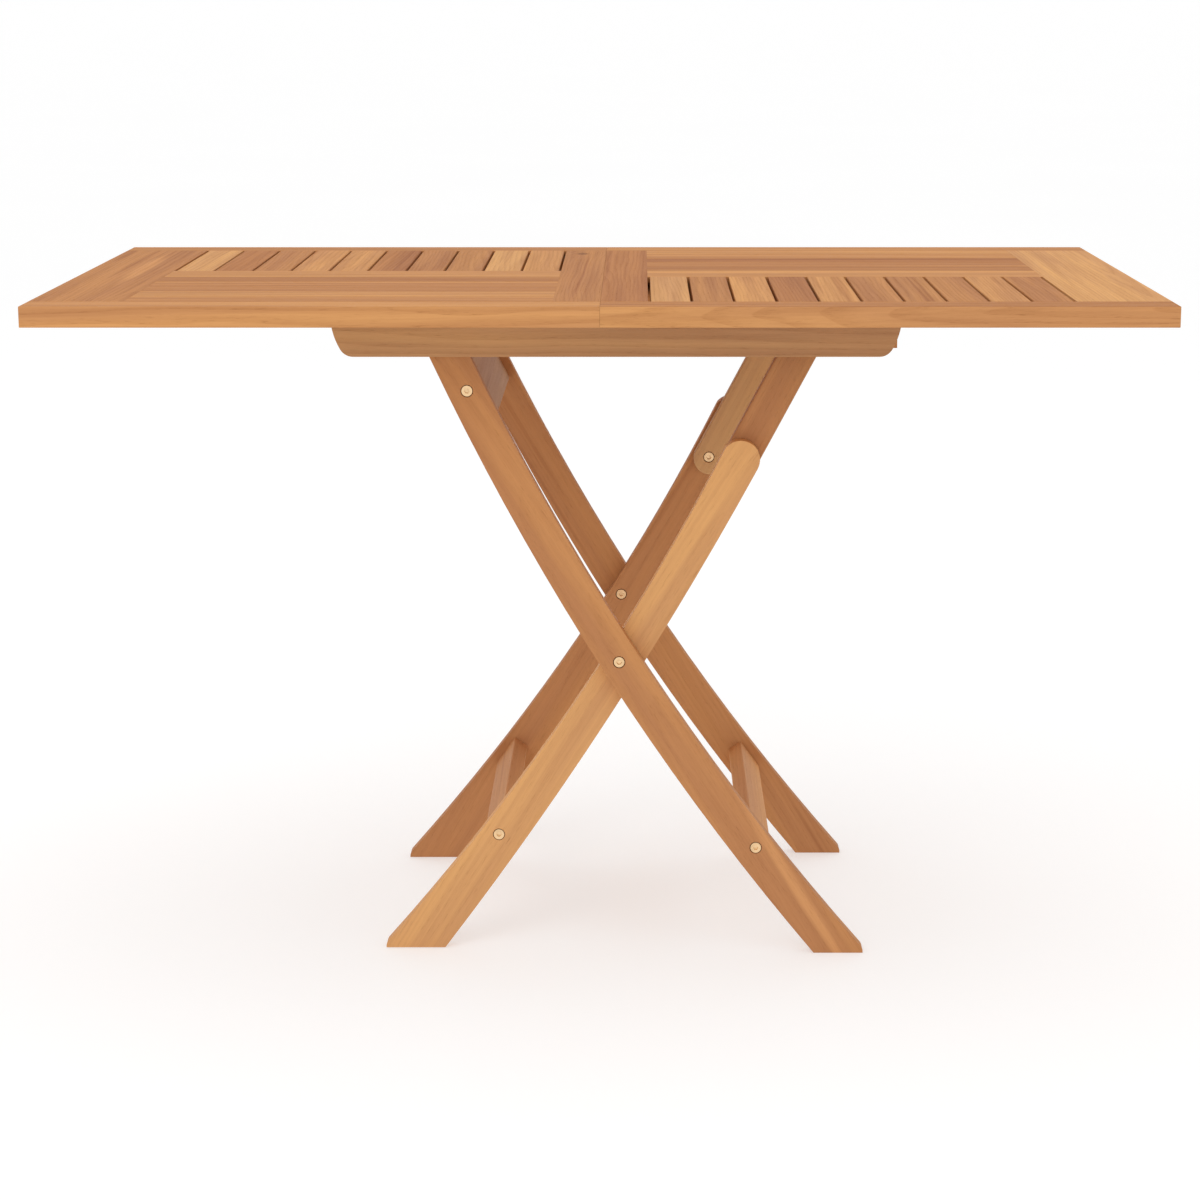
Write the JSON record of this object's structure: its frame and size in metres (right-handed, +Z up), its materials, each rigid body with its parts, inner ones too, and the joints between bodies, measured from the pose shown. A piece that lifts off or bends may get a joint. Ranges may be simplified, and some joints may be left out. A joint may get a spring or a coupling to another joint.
{
  "type": "folding picnic table",
  "caption": "Folding wooden garden table: a flat top of slatted and boarded fields on two crossed, curved leg frames that fold up under it.",
  "frame": {"origin": "on the floor under the middle of the top, with the table standing open", "axes": "+X along the top towards the end that the feet fold to, +Y to the rear, +Z up"},
  "size_m": [1.2, 0.7, 0.75],
  "materials": {
    "teak_slats": "oiled, satin",
    "teak_boards": "oiled, satin",
    "teak_cross_rails": "oiled, satin",
    "teak_side_rails": "oiled, satin",
    "teak_aprons": "oiled, satin",
    "teak_legs": "oiled, satin",
    "teak_links": "oiled, satin",
    "teak_stretchers": "oiled, satin",
    "beech_dowels": "bare",
    "brass": "satin"
  },
  "bodies": {
    "top": {"left_end_rail": "teak_cross_rails", "left_seam_rail": "teak_cross_rails", "left_front_rail": "teak_side_rails", "left_rear_rail": "teak_side_rails", "left_mid_rail": "teak_boards", "left_slats": "teak_slats", "left_boards": "teak_boards", "right_end_rail": "teak_cross_rails", "right_seam_rail": "teak_cross_rails", "right_front_rail": "teak_side_rails", "right_rear_rail": "teak_side_rails", "right_mid_rail": "teak_boards", "right_slats": "teak_slats", "right_boards": "teak_boards", "front_apron": "teak_aprons", "rear_apron": "teak_aprons", "front_bearer": "teak_aprons", "rear_bearer": "teak_aprons", "top_screws": "brass", "leg_pivot_bolts": "brass", "leg_pivot_inserts": "brass", "link_pivot_bolts": "brass", "link_pivot_inserts": "brass"},
    "outer_frame": {"front_outer_leg": "teak_legs", "rear_outer_leg": "teak_legs", "outer_cross_rail": "teak_stretchers", "outer_stretcher": "teak_stretchers", "outer_frame_bolts": "brass", "outer_frame_nuts": "brass", "outer_frame_dowels": "beech_dowels", "cross_pivot_bolts": "brass", "leg_pivot_washers": "brass", "cross_pivot_washers": "brass"},
    "links": {"front_link": "teak_links", "rear_link": "teak_links", "hinge_washers": "brass", "link_pivot_washers": "brass"},
    "inner_frame": {"front_inner_leg": "teak_legs", "rear_inner_leg": "teak_legs", "inner_stretcher": "teak_stretchers", "inner_frame_bolts": "brass", "inner_frame_nuts": "brass", "inner_frame_dowels": "beech_dowels", "cross_pivot_sleeves": "brass", "hinge_inserts": "brass", "hinge_bolts": "brass"}
  },
  "joints": [
    {"name": "leg_fold", "type": "hinge", "parent": "top", "child": "outer_frame", "pos_m": [-0.181, 0, 0.693], "axis": [0, -1, 0], "range_deg": [0, 57]},
    {"name": "link_fold", "type": "hinge", "parent": "top", "child": "links", "pos_m": [0.231, 0, 0.694], "axis": [0, -1, 0], "range_deg": [-58.7, 0]},
    {"name": "frame_hinge", "type": "hinge", "parent": "links", "child": "inner_frame", "pos_m": [0.1255, 0, 0.513], "axis": [0, -1, 0], "range_deg": [0, 173.9]}
  ],
  "couplings": [
    {"joint": "link_fold", "follows": "leg_fold", "ratio": -1.0291},
    {"joint": "frame_hinge", "follows": "leg_fold", "ratio": 3.0491}
  ]
}
